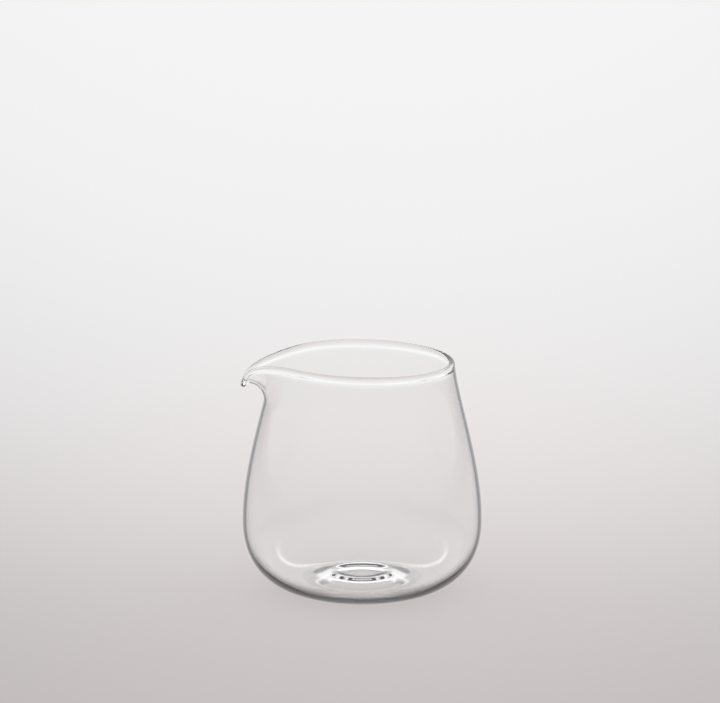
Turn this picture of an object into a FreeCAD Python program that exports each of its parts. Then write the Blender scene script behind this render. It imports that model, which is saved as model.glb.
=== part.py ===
import FreeCAD, Part
import math
import os

# Cream jug in clear glass, blown in one piece, in millimetres.
# Origin: centre of the foot, on the surface that the jug stands on.
# +Z is up, and the pouring lip points to -X.

# Body
bodyRadius = 44.0        # outside, at the belly
bellyHeight = 26.2       # height of the widest ring
jugHeight = 86.8         # top of the rim, before the spout is drawn
rimRadius = 33.3         # outside of the rim
wallThickness = 1.4
lowerFullness = 23.7     # pull of the curve from the belly down to the foot
upperFullness = 21.9     # pull of the curve from the belly up to the shoulder
neckLength = 13.3        # length of the nearly straight neck below the rim
neckLean = 5.0           # degrees that the neck leans in at the rim
heelRound = 5.0          # pull of the curve where the wall turns out of the foot

# Rim, fire-polished to a round bead
beadThickness = 2.2
beadBlend = 1.4          # depth over which the bead thins to the wall

# Foot and floor
footRadius = 19.8        # outer edge of the flat ring that the jug stands on
footWidth = 1.2
floorThickness = 2.2     # glass above the flat ring
floorBlend = 12.0        # height over which the floor thins to the wall

# Push-up in the middle of the floor: a ring-shaped crest inside, a low kick underneath
moundHeight = 5.8        # inside, crest above the table
moundRadius = 11.2       # ring of the crest
moundFlare = 5.4         # how far the crest spreads outwards
dishDepth = 1.4          # hollow on top of the mound, inside the crest
dishFlare = 3.8          # how far the crest spreads inwards
kickHeight = 1.8         # underneath, above the table
kickRadius = 10.0        # where the kick is highest
kickFlare = 4.4          # how far the kick's roof falls outwards
kickSag = 0.2            # the kick's middle hangs this much lower

# Pouring spout, drawn out of the warm rim
spoutReach = 11.7        # how far the rim is pulled out
spoutDrop = 9.4          # how far the lip is pulled down
spoutDepth = 15.9        # how far below the rim the pull reaches
spoutSpread = 18.0       # degrees, spread of the outward pull
spoutFall = 12.3         # degrees, spread of the downward pull
spoutNose = 3.0          # degrees, rounding of the downward pull at the tip
dropPower = 2.7          # how steeply the downward pull grows towards the rim
spoutPinch = 0.61        # share by which the sides are pinched together
pinchSpread = 26.0       # degrees, spread of the pinch
noseSpread = 6.0         # degrees, width of the tip that the pinch leaves round
rimRise = 0.9            # the rim stands this much higher on the spout side
neckShift = 0.6          # the neck stands this much off the foot's axis, away from the spout

# Fineness of the skin
ringPoints = 72          # points round each ring
spoutCrowding = 0.8      # 0 spaces them evenly, towards 1 crowds them at the spout
wallRows = 42
rimCrowding = 2.0        # 1 spaces the rows evenly, more crowds them at the rim
beadRows = 7
floorRows = 22
kickRows = 16
capRadius = 1.0          # small flat in the middle of the floor


def bezier(points, t):
    """Point and direction at t on a cubic Bezier curve with four (r, z) points."""
    s = 1 - t
    spot, way = [], []
    for a, b, c, d in zip(*points):
        spot.append(s ** 3 * a + 3 * s * s * t * b + 3 * s * t * t * c + t ** 3 * d)
        way.append(3 * (s * s * (b - a) + 2 * s * t * (c - b) + t * t * (d - c)))
    return spot, way


def outerProfile(u):
    """Outside of the wall: u runs 0 to 1 from foot to belly and 1 to 2 from belly to rim."""
    if u <= 1:
        heel = (footRadius + heelRound, 0.0)
        under = (bodyRadius, bellyHeight - lowerFullness)
        return bezier([(footRadius, 0.0), heel, under, (bodyRadius, bellyHeight)], u)
    lean = math.radians(neckLean)
    top = (rimRadius, jugHeight - beadThickness / 2)
    neck = (top[0] + neckLength * math.sin(lean), top[1] - neckLength * math.cos(lean))
    over = (bodyRadius, bellyHeight + upperFullness)
    return bezier([(bodyRadius, bellyHeight), over, neck, top], u - 1)


def thicknessAt(z):
    """Wall thickness at a height: the wall, with more glass in the bead and in the floor."""
    below = jugHeight - beadThickness / 2 - z
    bead = (beadThickness - wallThickness) * math.exp(-(below / beadBlend) ** 2)
    floor = (floorThickness - wallThickness) * math.exp(-(z / floorBlend) ** 2)
    return wallThickness + bead + floor


def middleProfile(u):
    """Middle of the wall's thickness, half a thickness in from the outside, as (r, z)."""
    (r, z), (dr, dz) = outerProfile(u)
    half = thicknessAt(z) / 2
    size = math.hypot(dr, dz)
    return r - half * dz / size, z + half * dr / size


rimMiddle = middleProfile(2.0)


def middlePoint(angle, u):
    """Middle of the wall at an angle from the spout, with the spout drawn out of it."""
    r, z = middleProfile(u)
    angle = math.remainder(angle, 2 * math.pi)
    near = max(0.0, 1 - (rimMiddle[1] - z) / spoutDepth)
    pullOut = near ** 2 * (2 - near)
    pullDown = near ** dropPower
    nose = math.radians(spoutNose)
    away = math.hypot(angle, nose) - nose
    out = spoutReach * math.exp(-0.5 * (angle / math.radians(spoutSpread)) ** 2)
    down = spoutDrop * math.exp(-away / math.radians(spoutFall))
    pinch = math.exp(-(angle / math.radians(pinchSpread)) ** 2)
    pinch = spoutPinch * (pinch - math.exp(-(angle / math.radians(noseSpread)) ** 2))
    up = (z / jugHeight) ** 2
    x = -r * math.cos(angle) - out * pullOut + neckShift * up
    y = r * math.sin(angle) * (1 - pinch * pullOut)
    z = z - down * pullDown + rimRise * math.cos(angle) * up
    return FreeCAD.Vector(x, y, z)


def wallFrame(angle, u):
    """Middle of the wall, the way out of it and the way up along it."""
    step = 1e-4
    low, high = max(0.0, u - step), min(2.0, u + step)
    along = middlePoint(angle, high) - middlePoint(angle, low)
    around = middlePoint(angle + step, u) - middlePoint(angle - step, u)
    outward = along.cross(around)
    return middlePoint(angle, u), outward.normalize(), along.normalize()


def bell(distance, spread):
    """Bell curve: 1 at its middle, falling to 0 on both sides."""
    return math.exp(-(distance / spread) ** 2)


def moundAt(r):
    """Height of the mound above the level floor: a ring-shaped crest round a shallow dish."""
    if r > moundRadius:
        return (moundHeight - floorThickness) * bell(r - moundRadius, moundFlare)
    top = moundHeight - floorThickness - dishDepth
    return top + dishDepth * bell(moundRadius - r, dishFlare)


def kickAt(r):
    """Height of the underside inside the foot ring, zero at the ring's inner edge."""
    if r > kickRadius:
        least = bell(footRadius - footWidth - kickRadius, kickFlare)
        return kickHeight * (bell(r - kickRadius, kickFlare) - least) / (1 - least)
    return kickHeight - kickSag * math.cos(math.pi / 2 * r / kickRadius) ** 2


def skinRings(angles):
    """Rings of points from the foot's edge up the outside, over the rim and down inside."""
    rows = [2 * (1 - (1 - k / wallRows) ** rimCrowding) for k in range(wallRows + 1)]
    frames = [[wallFrame(a, u) for a in angles] for u in rows]
    halves = [thicknessAt(outerProfile(u)[0][1]) / 2 for u in rows]
    outside = [[m + n * h for m, n, t in row] for row, h in zip(frames, halves)]
    inside = [[m - n * h for m, n, t in row] for row, h in zip(frames, halves)]
    inside = [[p + FreeCAD.Vector(0, 0, moundAt(math.hypot(p.x, p.y))) for p in row] for row in inside]
    bead = []
    for k in range(1, beadRows + 1):
        turn = math.pi * k / (beadRows + 1)
        across, over = halves[-1] * math.cos(turn), halves[-1] * math.sin(turn)
        bead.append([m + n * across + t * over for m, n, t in frames[-1]])
    floor = []
    for k in range(1, floorRows + 1):
        r = footRadius + (capRadius - footRadius) * k / floorRows
        z = floorThickness + moundAt(r)
        floor.append([FreeCAD.Vector(-r * math.cos(a), r * math.sin(a), z) for a in angles])
    rings = outside + bead + inside[::-1] + floor
    belly = wallRows // 2
    inner = len(outside) + beadRows
    joints = [0, belly, wallRows, inner, inner + wallRows - belly, inner + wallRows, len(rings) - 1]
    return rings, joints


def loftedSkin(rings, angles):
    """One smooth spline surface through closed rings of points."""
    closing = [(a - angles[0]) / (2 * math.pi) for a in angles] + [1.0]
    curves = []
    for ring in rings:
        curve = Part.BSplineCurve()
        curve.interpolate(Points=ring, PeriodicFlag=True, Parameters=closing)
        curves.append(curve)
    poles = [curve.getPoles() for curve in curves]
    gaps = [sum(a.distanceToPoint(b) for a, b in zip(p, q)) for p, q in zip(rings, rings[1:])]
    heights = [0.0]
    for gap in gaps:
        heights.append(heights[-1] + gap / sum(gaps))
    columns = []
    for column in zip(*poles):
        curve = Part.BSplineCurve()
        curve.interpolate(Points=list(column), Parameters=heights)
        columns.append(curve)
    skin = Part.BSplineSurface()
    skin.buildFromPolesMultsKnots(
        [curve.getPoles() for curve in columns],
        curves[0].getMultiplicities(), columns[0].getMultiplicities(),
        curves[0].getKnots(), columns[0].getKnots(),
        True, False, 3, 3)
    return skin, heights


def makeJug():
    """The jug as one closed solid."""
    turns = [2 * math.pi * k / ringPoints - math.pi for k in range(ringPoints)]
    angles = [t - spoutCrowding * math.sin(t) for t in turns]
    rings, joints = skinRings(angles)
    skin, heights = loftedSkin(rings, angles)
    levels = [heights[k] for k in joints]
    skinFaces, footEdges, capEdges = [], [], []
    for side in (0, 1):
        for low, high in zip(levels, levels[1:]):
            patch = skin.copy()
            patch.segment(side / 2, (side + 1) / 2, low, high)
            skinFaces.append(patch.toShape())
            if low == levels[0]:
                footEdges.append(patch.vIso(low).toShape())
            if high == levels[-1]:
                capEdges.append(patch.vIso(high).toShape())
    cap = Part.Face(Part.Wire(capEdges))
    innerEdge = Part.makeCircle(footRadius - footWidth)
    foot = Part.Face([Part.Wire(footEdges), Part.Wire(innerEdge)])
    steps = [(footRadius - footWidth) * (1 - k / kickRows) for k in range(kickRows + 1)]
    profile = Part.BSplineCurve()
    profile.interpolate([FreeCAD.Vector(r, 0, kickAt(r)) for r in steps])
    kick = profile.toShape().revolve(FreeCAD.Vector(0, 0, 0), FreeCAD.Vector(0, 0, 1), 360)
    shell = Part.makeShell(skinFaces + [cap, foot] + kick.Faces)
    shell.sewShape()
    solid = Part.Solid(Part.Shell(shell.Faces))
    if solid.Volume < 0:
        solid.reverse()
    return solid


os.makedirs("parts", exist_ok=True)
jug = makeJug()
jug.exportStep("parts/jug.step")
box = jug.BoundBox
print("valid", jug.isValid(), "closed", jug.isClosed(), "volume", round(jug.Volume / 1000, 2), "cm3")
print("box", [round(v, 2) for v in (box.XMin, box.YMin, box.ZMin, box.XMax, box.YMax, box.ZMax)])
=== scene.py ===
import math
import bpy
import numpy as np
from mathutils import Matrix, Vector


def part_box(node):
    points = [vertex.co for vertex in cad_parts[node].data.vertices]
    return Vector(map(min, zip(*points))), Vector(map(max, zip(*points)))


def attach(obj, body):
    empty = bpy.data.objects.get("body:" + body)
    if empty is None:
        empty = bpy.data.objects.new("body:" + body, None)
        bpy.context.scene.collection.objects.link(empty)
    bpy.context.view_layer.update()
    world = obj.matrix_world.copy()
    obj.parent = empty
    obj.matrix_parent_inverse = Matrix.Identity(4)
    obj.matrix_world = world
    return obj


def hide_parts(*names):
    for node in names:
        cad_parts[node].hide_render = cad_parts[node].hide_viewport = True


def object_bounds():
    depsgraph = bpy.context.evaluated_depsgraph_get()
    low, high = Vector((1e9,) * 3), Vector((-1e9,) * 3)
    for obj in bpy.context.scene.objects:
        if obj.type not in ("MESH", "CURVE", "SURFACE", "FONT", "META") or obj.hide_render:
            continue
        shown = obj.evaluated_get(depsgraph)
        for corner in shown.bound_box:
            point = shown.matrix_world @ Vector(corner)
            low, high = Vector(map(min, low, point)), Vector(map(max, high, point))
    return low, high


# A cream jug of clear blown glass on a pale table. Metres, +Z up, pouring lip towards -X.
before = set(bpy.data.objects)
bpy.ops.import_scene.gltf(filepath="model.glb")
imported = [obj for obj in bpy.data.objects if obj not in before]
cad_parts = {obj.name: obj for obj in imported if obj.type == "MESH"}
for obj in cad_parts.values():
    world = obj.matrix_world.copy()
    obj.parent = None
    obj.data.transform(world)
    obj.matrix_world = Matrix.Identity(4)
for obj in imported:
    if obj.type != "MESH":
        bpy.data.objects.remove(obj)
cadLow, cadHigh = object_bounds()
print("frame loaded, box", [round(v, 4) for v in (*cadLow, *cadHigh)])

mm = 0.001

wall = {
    "bodyRadius": 44.0 * mm,       # outside, at the belly
    "bellyHeight": 26.2 * mm,      # height of the widest ring
    "height": 86.8 * mm,           # top of the rim before the spout is drawn
    "rimRadius": 33.3 * mm,
    "thickness": 1.4 * mm,
    "lowerPull": 23.7 * mm,        # how far the curve runs straight down from the belly
    "upperPull": 21.9 * mm,        # and straight up from it
    "neckPull": 13.3 * mm,         # length of the nearly straight neck
    "neckLean": 5.0,               # degrees that the neck leans in
    "heelPull": 5.0 * mm,          # how far the curve runs flat out of the foot
    "bead": 2.2 * mm,              # thickness of the fire-polished rim
    "beadBlend": 1.4 * mm,         # depth over which the bead thins
    "footRadius": 19.8 * mm,       # outer edge of the flat ring it stands on
    "floor": 2.2 * mm,             # glass above the flat ring
    "floorBlend": 12.0 * mm,       # height over which the floor thins
}

spout = {
    "reach": 11.7 * mm,            # how far the rim is pulled out
    "drop": 9.4 * mm,              # how far the lip is pulled down
    "depth": 15.9 * mm,            # how far below the rim the pull reaches
    "spread": 18.0,                # degrees, of the outward pull
    "fall": 12.3,                  # degrees, of the downward pull
    "nose": 3.0,                   # degrees, rounding of the tip
    "dropPower": 2.7,              # how steeply the downward pull grows towards the rim
    "pinch": 0.61,                 # share by which the sides are pinched in
    "pinchSpread": 26.0,           # degrees
    "noseSpread": 6.0,             # degrees left round at the tip
    "rimRise": 0.9 * mm,           # the rim tilts, up by this at the spout and down opposite
    "neckShift": 0.6 * mm,         # and sits this far from the foot's axis, away from the spout
}

base = {
    "mound": 5.8 * mm,             # height of the crest pushed up inside
    "moundRadius": 11.2 * mm,
    "moundFlare": 5.4 * mm,        # spread of the crest outwards
    "dish": 1.4 * mm,              # depth of the hollow inside the crest
    "dishFlare": 3.8 * mm,         # spread of the crest inwards
    "kick": 1.8 * mm,              # height of the hollow underneath
    "kickRadius": 10.0 * mm,       # where it is highest
    "kickFlare": 4.4 * mm,         # spread of its roof outwards
    "kickSag": 0.2 * mm,           # its middle hangs lower
    "kickEdge": 18.6 * mm,         # where it meets the flat ring
}

grid = {
    "ring": 256,                   # points round each ring
    "crowding": 0.75,              # 0 spaces them evenly, towards 1 crowds them at the spout
    "wallRows": 104,
    "rimCrowding": 1.6,            # crowds the rows at the rim
    "beadRows": 16,
    "floorRows": 72,
    "underRows": 44,
}


def bezierCurve(points, t):
    # (1-t)^3 A + 3(1-t)^2 t B + 3(1-t) t^2 C + t^3 D, and its direction of length 1
    a, b, c, d = np.array(points, float)
    t = t[..., None]
    spot = (1 - t) ** 3 * a + 3 * (1 - t) ** 2 * t * b + 3 * (1 - t) * t ** 2 * c + t ** 3 * d
    way = (1 - t) ** 2 * (b - a) + 2 * (1 - t) * t * (c - b) + t ** 2 * (d - c)
    return spot, way / np.linalg.norm(way, axis=-1, keepdims=True)


def outerCurve(u):
    # radius and height of the outside: u from 0 to 1 is foot to belly, 1 to 2 belly to rim
    w = wall
    lean = math.radians(w["neckLean"])
    belly = (w["bodyRadius"], w["bellyHeight"])
    top = (w["rimRadius"], w["height"] - w["bead"] / 2)
    neck = (top[0] + w["neckPull"] * math.sin(lean), top[1] - w["neckPull"] * math.cos(lean))
    low = [(w["footRadius"], 0), (w["footRadius"] + w["heelPull"], 0),
           (belly[0], belly[1] - w["lowerPull"]), belly]
    high = [belly, (belly[0], belly[1] + w["upperPull"]), neck, top]
    lowSpot, lowWay = bezierCurve(low, np.clip(u, 0, 1))
    highSpot, highWay = bezierCurve(high, np.clip(u - 1, 0, 1))
    isLow = (u <= 1)[..., None]
    return np.where(isLow, lowSpot, highSpot), np.where(isLow, lowWay, highWay)


def thicknessAt(z):
    # wall + more glass falling off as exp(-(depth / blend)^2) below the rim and above the floor
    w = wall
    bead = np.exp(-((w["height"] - w["bead"] / 2 - z) / w["beadBlend"]) ** 2)
    floor = np.exp(-(z / w["floorBlend"]) ** 2)
    return w["thickness"] + (w["bead"] - w["thickness"]) * bead + (w["floor"] - w["thickness"]) * floor


def middleCurve(u):
    # the outside moved in by half a thickness along its normal
    spot, way = outerCurve(u)
    thickness = thicknessAt(spot[..., 1])
    normal = np.stack([way[..., 1], -way[..., 0]], -1)
    return spot - normal * thickness[..., None] / 2, thickness


def middleSurface(angle, u):
    # the middle curve turned about Z, then the spout's pulls, out along -X, down, and in towards
    # Y = 0: each fades with the angle from the lip and with the depth below the rim, the first and
    # last as s^2 (2 - s) and the second as s^dropPower, where s goes from 1 at the rim to 0
    curve, thickness = middleCurve(u)
    r, z = curve[..., 0], curve[..., 1]
    rimTop = middleCurve(np.array(2.0))[0][1]
    angle = (angle + np.pi) % (2 * np.pi) - np.pi
    degrees = np.degrees(angle)
    share = np.clip(1 - (rimTop - z) / spout["depth"], 0, None)
    pullOut = share ** 2 * (2 - share)
    pullDown = share ** spout["dropPower"]
    away = np.hypot(degrees, spout["nose"]) - spout["nose"]
    out = spout["reach"] * np.exp(-0.5 * (degrees / spout["spread"]) ** 2) * pullOut
    down = spout["drop"] * np.exp(-away / spout["fall"]) * pullDown
    pinch = np.exp(-(degrees / spout["pinchSpread"]) ** 2) - np.exp(-(degrees / spout["noseSpread"]) ** 2)
    pinch = spout["pinch"] * pinch * pullOut
    up = (z / wall["height"]) ** 2
    x = -r * np.cos(angle) - out + spout["neckShift"] * up
    y = r * np.sin(angle) * (1 - pinch)
    z = z - down + spout["rimRise"] * np.cos(angle) * up
    return np.stack([x, y, z], -1), thickness


def unit(v):
    return v / np.linalg.norm(v, axis=-1, keepdims=True)


def wallSurface(angle, u):
    # the middle surface with its outward normal and its upward tangent, by central differences
    step = 1e-4
    spot, thickness = middleSurface(angle, u)
    around = middleSurface(angle + step, u)[0] - middleSurface(angle - step, u)[0]
    low, high = np.clip(u - step, 0, 2), np.clip(u + step, 0, 2)
    along = middleSurface(angle, high)[0] - middleSurface(angle, low)[0]
    return spot, unit(np.cross(along, around)), unit(along), thickness[..., None]


def ring(radius, height, angle):
    # level circles: (-r cos a, r sin a, z)
    r, z = radius[:, None], height[:, None]
    return np.stack([-r * np.cos(angle), r * np.sin(angle), z + 0 * angle], -1)


def moundAt(r):
    # glass above the level floor: a ring-shaped crest, exp(-(distance / flare)^2) on both sides
    b = base
    crest = b["mound"] - wall["floor"]
    outer = crest * np.exp(-((r - b["moundRadius"]) / b["moundFlare"]) ** 2)
    inner = crest - b["dish"] * (1 - np.exp(-((r - b["moundRadius"]) / b["dishFlare"]) ** 2))
    return np.where(r > b["moundRadius"], outer, inner)


def kickAt(r):
    # the underside's hollow: the same bell outwards, brought to 0 at its edge, and inwards a sag
    # of cos^2 over the radius
    b = base
    bell = np.exp(-((r - b["kickRadius"]) / b["kickFlare"]) ** 2)
    least = math.exp(-((b["kickEdge"] - b["kickRadius"]) / b["kickFlare"]) ** 2)
    roof = b["kick"] - b["kickSag"] * np.cos(np.pi / 2 * np.minimum(r / b["kickRadius"], 1)) ** 2
    return np.where(r > b["kickRadius"], b["kick"] * (bell - least) / (1 - least), roof)


def jugRows():
    # rings of points from under the floor, up the outside, over the bead, down the inside and over
    # the floor: the wall's two skins are the middle surface plus and minus half a thickness along
    # its normal, and the bead is a half circle between them
    turn = np.linspace(-np.pi, np.pi, grid["ring"], endpoint=False)
    angle = turn - grid["crowding"] * np.sin(turn)
    v = np.linspace(0, 1, grid["wallRows"])
    angles, u = np.meshgrid(angle, 2 * (1 - (1 - v) ** grid["rimCrowding"]))
    spot, normal, upward, thickness = wallSurface(angles, u)
    outside, inside = spot + normal * thickness / 2, spot - normal * thickness / 2
    inside[..., 2] += moundAt(np.hypot(inside[..., 0], inside[..., 1]))
    roll = np.linspace(0, np.pi, grid["beadRows"] + 2)[1:-1, None, None]
    bead = spot[-1] + thickness[-1] / 2 * (np.cos(roll) * normal[-1] + np.sin(roll) * upward[-1])
    underRadius = base["kickEdge"] * np.linspace(0, 1, grid["underRows"] + 1)[1:]
    under = ring(underRadius, kickAt(underRadius), angle)
    floorRadius = np.linspace(wall["footRadius"], 0, grid["floorRows"] + 2)[1:-1]
    floor = ring(floorRadius, wall["floor"] + moundAt(floorRadius), angle)
    return np.concatenate([under, outside, bead, inside[::-1], floor])


def intoBox(rows, low, high):
    # moved and stretched by a hair, so that the rows' own box is the CAD node's box
    own = rows.reshape(-1, 3)
    ownLow, ownHigh = own.min(0), own.max(0)
    low, high = np.array(low), np.array(high)
    return low + (rows - ownLow) / (ownHigh - ownLow) * (high - low)


def closedMesh(name, rows):
    # quads between neighbouring rings, and at each end a fan of triangles to a pole in its middle
    count, around = rows.shape[:2]
    lowPole, highPole = rows[0].mean(0), rows[-1].mean(0)
    points = np.concatenate([rows.reshape(-1, 3), [lowPole], [highPole]])
    here = np.arange(count * around).reshape(count, around)
    beside = np.roll(here, -1, axis=1)
    quads = np.stack([here[:-1], here[1:], beside[1:], beside[:-1]], -1).reshape(-1, 4)
    lowFan = np.stack([np.full(around, count * around), here[0], beside[0]], -1)
    highFan = np.stack([np.full(around, count * around + 1), beside[-1], here[-1]], -1)
    fans = np.concatenate([lowFan, highFan])
    corners = np.concatenate([quads.ravel(), fans.ravel()])
    sizes = np.concatenate([np.full(len(quads), 4), np.full(len(fans), 3)])
    mesh = bpy.data.meshes.new(name)
    mesh.vertices.add(len(points))
    mesh.vertices.foreach_set("co", points.astype(np.float32).ravel())
    mesh.loops.add(len(corners))
    mesh.loops.foreach_set("vertex_index", corners.astype(np.int32))
    mesh.polygons.add(len(sizes))
    mesh.polygons.foreach_set("loop_start", (np.cumsum(sizes) - sizes).astype(np.int32))
    mesh.polygons.foreach_set("loop_total", sizes.astype(np.int32))
    mesh.update(calc_edges=True)
    mesh.shade_smooth()
    return mesh


def addNode(tree, kind, inputs, **settings):
    # a shader node: settings go on the node, inputs are values or other nodes' outputs
    node = tree.nodes.new(kind)
    for key, value in settings.items():
        setattr(node, key, value)
    for key, value in inputs.items():
        if isinstance(value, bpy.types.NodeSocket):
            tree.links.new(value, node.inputs[key])
        else:
            node.inputs[key].default_value = value
    return node


def calculate(tree, operation, *values):
    return addNode(tree, "ShaderNodeMath", dict(enumerate(values)), operation=operation).outputs[0]


def mixColours(tree, share, first, second, blend="MIX"):
    return addNode(tree, "ShaderNodeMix", {"Factor": share, "A": first, "B": second},
                   data_type="RGBA", blend_type=blend).outputs["Result"]


def paintedDarkening(tree, facing, power, depth):
    # painted shade: depth * facing^power, at most 1
    taken = calculate(tree, "MULTIPLY", calculate(tree, "POWER", facing, power), depth)
    return calculate(tree, "MINIMUM", taken, 1.0)


glass = {
    "ior": 1.47,
    "tint": (0.8, 0.88, 0.9, 1),   # about what 1 / density metres of glass leave of white
    "density": 6.0,
    "edge": (0.01, 0.015, 0.02, 1),  # colour of the painted shade at the outline, which stands in for dark surroundings seen in the glass
    "edgePower": 12.0,             # how close to the outline the painted shade reaches
    "edgeDepth": 20.0,
    "heelShadePower": 5.0,              # the same painted shade for the heel, where it reaches further in
    "heelDepth": 12.0,
    "heelShadeStart": -0.45,            # the normal's Z where the heel's painted shade begins
    "heelShadeFull": -0.80,             # and where it is complete
    "heelShadeTop": 20.0 * mm,          # it reaches no higher than this
    "ripple": 0.02,                # strength of the hand-blown waviness
    "rippleScale": 55.0,
    "rippleDetail": 1.0,
}


def glassMaterial():
    # clear glass with a faint waviness and painted shade: where its outside (normal . position > 0) turns
    # away it goes from white to the painted edge shade's colour, wider in the heel, whose normals point
    # down
    g = glass
    material = bpy.data.materials.new("clearGlass")
    material.use_nodes = True
    tree = material.node_tree
    tree.nodes.clear()
    facing = addNode(tree, "ShaderNodeLayerWeight", {"Blend": 0.5}).outputs["Facing"]
    place = addNode(tree, "ShaderNodeTexCoord", {}).outputs["Object"]
    normal = addNode(tree, "ShaderNodeNewGeometry", {}).outputs["Normal"]
    away = addNode(tree, "ShaderNodeVectorMath", {0: normal, 1: place},
                   operation="DOT_PRODUCT").outputs["Value"]
    outside = calculate(tree, "GREATER_THAN", away, 0.0)
    turn = addNode(tree, "ShaderNodeSeparateXYZ", {"Vector": normal}).outputs["Z"]
    # mask of the heel's painted shade: where the normals point down, low on the jug
    under = addNode(tree, "ShaderNodeMapRange",
                    {"Value": turn, "From Min": g["heelShadeStart"], "From Max": g["heelShadeFull"]},
                    interpolation_type="SMOOTHSTEP").outputs[0]
    height = addNode(tree, "ShaderNodeSeparateXYZ", {"Vector": place}).outputs["Z"]
    under = calculate(tree, "MULTIPLY", under, calculate(tree, "LESS_THAN", height, g["heelShadeTop"]))
    edge = paintedDarkening(tree, facing, g["edgePower"], g["edgeDepth"])
    heel = paintedDarkening(tree, facing, g["heelShadePower"], g["heelDepth"])
    # painted shade: the glass darker at the outline and in the heel, standing in for dark surroundings
    # seen in the glass
    paintedShade = calculate(tree, "MAXIMUM", calculate(tree, "MULTIPLY", edge, outside),
                     calculate(tree, "MULTIPLY", heel, under))
    paintedShadeColour = mixColours(tree, paintedShade, (1, 1, 1, 1), g["edge"])
    waves = addNode(tree, "ShaderNodeTexNoise",
                    {"Vector": place, "Scale": g["rippleScale"],
                     "Detail": g["rippleDetail"]}).outputs["Fac"]
    bump = addNode(tree, "ShaderNodeBump",
                   {"Height": waves, "Strength": g["ripple"], "Distance": mm}).outputs["Normal"]
    surface = addNode(tree, "ShaderNodeBsdfPrincipled",
                      {"Base Color": paintedShadeColour, "Roughness": 0.0, "IOR": g["ior"],
                       "Transmission Weight": 1.0, "Normal": bump})
    volume = addNode(tree, "ShaderNodeVolumeAbsorption", {"Color": g["tint"], "Density": g["density"]})
    addNode(tree, "ShaderNodeOutputMaterial",
            {"Surface": surface.outputs[0], "Volume": volume.outputs[0]})
    return material


cadJugLow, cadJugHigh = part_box("jug")
jugMesh = closedMesh("jugGlass", intoBox(jugRows(), cadJugLow, cadJugHigh))
jugMesh.materials.append(glassMaterial())
jug = bpy.data.objects.new("jugGlass", jugMesh)
bpy.context.scene.collection.objects.link(jug)
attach(jug, "root")
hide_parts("jug")
print("jug done,", len(jugMesh.vertices), "points")

table = {
    "half": 6.0,                   # half the side of the sheet, in metres
    "gap": 0.2 * mm,               # it lies this far below the foot
    # far and near colours of a painted light pool: the sheet is lighter far off and darker near the
    # camera, as the light falls off
    "far": (0.918, 0.918, 0.921, 1),
    "near": (0.421, 0.384, 0.380, 1),
    "middle": 0.016,               # where the colour is half way, in Y
    "soft": 0.175,                 # how gradually it changes there
    "softer": 0.83,                # and how much more gradually for each metre away
    "bend": 3.71,                  # how much further back it lies to the sides
    "aside": 0.014,                # the middle of both patterns, in X
    "warm": (1.025, 0.995, 0.975, 1),  # painted warm light: multiplies the colour round and behind the jug, brighter and warmer there
    "warmWide": 0.13,              # how far that reaches, in X
    "warmMiddle": 0.10,            # where it is strongest, in Y
    "warmDeep": 0.30,              # how far it reaches, in Y
    "lit": 0.35,                   # share of its colour that shadows can darken
    "glow": 1.126,                 # makes up for the light level on that share
}


def seenDirectly(tree):
    # 1 for rays that come straight from the camera or by way of glass and gloss, else 0
    path = addNode(tree, "ShaderNodeLightPath", {})
    seen = calculate(tree, "MAXIMUM", path.outputs["Is Camera Ray"], path.outputs["Is Glossy Ray"])
    return calculate(tree, "MAXIMUM", seen, path.outputs["Is Transmission Ray"])


def tableMaterial():
    # painted light pool, darker towards the camera where the light falls off: near colour turning into
    # far colour by 1 / (1 + exp(-t)), t = (y - middle - bend (x - aside)^2) / (soft (1 + softer |y|)),
    # and painted warmer, brighter light round the jug by exp(-((x - aside) / warmWide)^2 - ((y -
    # warmMiddle) / warmDeep)^2)
    t = table
    material = bpy.data.materials.new("paleTablePaintedLight")
    material.use_nodes = True
    tree = material.node_tree
    tree.nodes.clear()
    place = addNode(tree, "ShaderNodeTexCoord", {}).outputs["Object"]
    axes = addNode(tree, "ShaderNodeSeparateXYZ", {"Vector": place})
    across = calculate(tree, "SUBTRACT", axes.outputs["X"], t["aside"])
    bent = calculate(tree, "MULTIPLY", calculate(tree, "MULTIPLY", across, across), t["bend"])
    back = calculate(tree, "SUBTRACT", calculate(tree, "SUBTRACT", axes.outputs["Y"], bent), t["middle"])
    distance = calculate(tree, "ABSOLUTE", axes.outputs["Y"])
    width = calculate(tree, "MULTIPLY_ADD", distance, t["soft"] * t["softer"], t["soft"])
    fall = calculate(tree, "EXPONENT",
                     calculate(tree, "MULTIPLY", calculate(tree, "DIVIDE", back, width), -1.0))
    share = calculate(tree, "DIVIDE", 1.0, calculate(tree, "ADD", fall, 1.0))
    colour = mixColours(tree, share, t["near"], t["far"])
    near = calculate(tree, "DIVIDE", across, t["warmWide"])
    deep = calculate(tree, "MULTIPLY_ADD", axes.outputs["Y"],
                     1 / t["warmDeep"], -t["warmMiddle"] / t["warmDeep"])
    away = calculate(tree, "MULTIPLY_ADD", near, near, calculate(tree, "MULTIPLY", deep, deep))
    warmth = calculate(tree, "EXPONENT", calculate(tree, "MULTIPLY", away, -1.0))
    # painted warm light: the colour made brighter and warmer round the jug
    colour = mixColours(tree, warmth, colour, t["warm"], "MULTIPLY")
    shade = addNode(tree, "ShaderNodeBsdfDiffuse", {"Color": colour})
    glow = addNode(tree, "ShaderNodeEmission", {"Color": colour, "Strength": t["glow"]})
    mixed = addNode(tree, "ShaderNodeMixShader",
                    {0: calculate(tree, "MULTIPLY", seenDirectly(tree), 1 - t["lit"]),
                     1: shade.outputs[0], 2: glow.outputs[0]})
    addNode(tree, "ShaderNodeOutputMaterial", {"Surface": mixed.outputs[0]})
    return material


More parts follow.
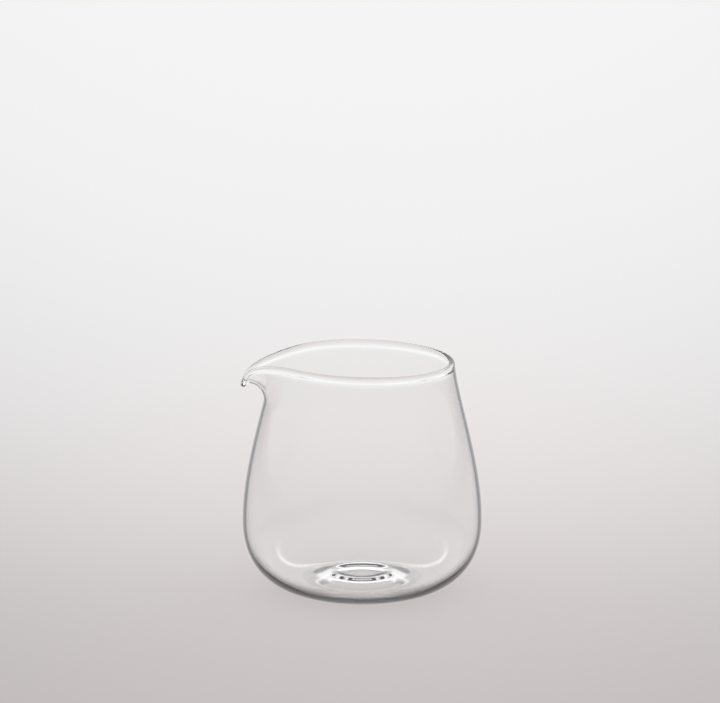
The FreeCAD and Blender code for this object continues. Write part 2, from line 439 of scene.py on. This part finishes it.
half, level = table["half"], cadLow[2] - table["gap"]
sheetMesh = bpy.data.meshes.new("tableTop")
sheetMesh.from_pydata([(-half, -half, level), (half, -half, level), (half, half, level),
                       (-half, half, level)], [], [(0, 1, 2, 3)])
sheetMesh.materials.append(tableMaterial())
sheet = bpy.data.objects.new("tableTop", sheetMesh)
bpy.context.scene.collection.objects.link(sheet)
print("table done")

light = {
    "sky": (0.90, 0.895, 0.90, 1),
    "level": 0.85,                 # of the light it gives
    "seenBehind": 1.12,            # of the sky seen in the glass: behind and above,
    "seenFront": 0.5,              # and low on the camera's side
    "heightWeight": 2.0,           # of height against distance behind, in that change
    "fadeEnd": 1.2,                # where the change is complete
    "stripHeight": 29.0,           # degrees above level of the bright strip behind the table
    "stripWidth": 2.2,             # degrees, half its width
    "stripLevel": 2.5,             # how much brighter it is than the sky
    "stripFrom": 0.3,              # the direction's Y where it begins
    "stripFull": 0.75,             # and where it is complete
    "bounces": 16,                 # in and out of the glass, before a ray is given up
}


def skyWorld():
    # gives the plain level of light all round; where it is seen in the glass it fades from the
    # level low in front to the one behind and above with heightWeight z + max(y, 0), and has a
    # strip, exp(-((z - sin height) / width)^2), faded in with y
    world = bpy.data.worlds.new("paleRoom")
    world.use_nodes = True
    tree = world.node_tree
    tree.nodes.clear()
    way = addNode(tree, "ShaderNodeTexCoord", {}).outputs["Generated"]
    axes = addNode(tree, "ShaderNodeSeparateXYZ", {"Vector": way})
    over = calculate(tree, "MULTIPLY_ADD", axes.outputs["Z"], light["heightWeight"],
                     calculate(tree, "MAXIMUM", axes.outputs["Y"], 0.0))
    fade = addNode(tree, "ShaderNodeMapRange",
                   {"Value": over, "From Min": 0.0, "From Max": light["fadeEnd"],
                    "To Min": light["seenFront"], "To Max": light["seenBehind"]},
                   interpolation_type="SMOOTHSTEP").outputs[0]
    height = math.radians(light["stripHeight"])
    width = math.radians(light["stripWidth"]) * math.cos(height)
    off = calculate(tree, "MULTIPLY_ADD", axes.outputs["Z"], 1 / width, -math.sin(height) / width)
    square = calculate(tree, "MULTIPLY", off, off)
    fall = calculate(tree, "EXPONENT", calculate(tree, "MULTIPLY", square, -1.0))
    behind = addNode(tree, "ShaderNodeMapRange",
                     {"Value": axes.outputs["Y"], "From Min": light["stripFrom"],
                      "From Max": light["stripFull"]}).outputs[0]
    strip = calculate(tree, "MULTIPLY", fall, behind)
    bright = calculate(tree, "MULTIPLY_ADD", strip, light["stripLevel"], fade)
    more = calculate(tree, "SUBTRACT", bright, light["level"])
    more = calculate(tree, "MULTIPLY", seenDirectly(tree), more)
    total = calculate(tree, "ADD", more, light["level"])
    shade = addNode(tree, "ShaderNodeBackground", {"Color": light["sky"], "Strength": total})
    addNode(tree, "ShaderNodeOutputWorld", {"Surface": shade.outputs[0]})
    return world


bpy.context.scene.world = skyWorld()
# a ray that turns back inside the glass counts as glossy, one that goes through as transmission
for kind in ("max_bounces", "transmission_bounces", "glossy_bounces"):
    setattr(bpy.context.scene.cycles, kind, light["bounces"])
bpy.context.scene.view_settings.view_transform = "Standard"
print("light done")

view = {
    "lens": 180.0,                 # mm
    "sensor": 36.0,                # mm
    "farthest": 100.0,             # metres that it sees
    "distance": 1.324,             # from a point half way up the jug
    "aimHeight": 43.0 * mm,
    "climb": 14.37,                # degrees above level of the way to the camera
    "tilt": 12.42,                 # degrees that it looks down
    "aside": -0.74 * mm,
}

camera = bpy.data.cameras.new("view")
camera.lens = view["lens"]
camera.sensor_width = view["sensor"]
camera.clip_end = view["farthest"]
cameraObject = bpy.data.objects.new("view", camera)
climb = math.radians(view["climb"])
cameraObject.location = (view["aside"], -view["distance"] * math.cos(climb),
                         view["aimHeight"] + view["distance"] * math.sin(climb))
cameraObject.rotation_euler = (math.radians(90 - view["tilt"]), 0, 0)
bpy.context.scene.collection.objects.link(cameraObject)
bpy.context.scene.camera = cameraObject
print("camera done")
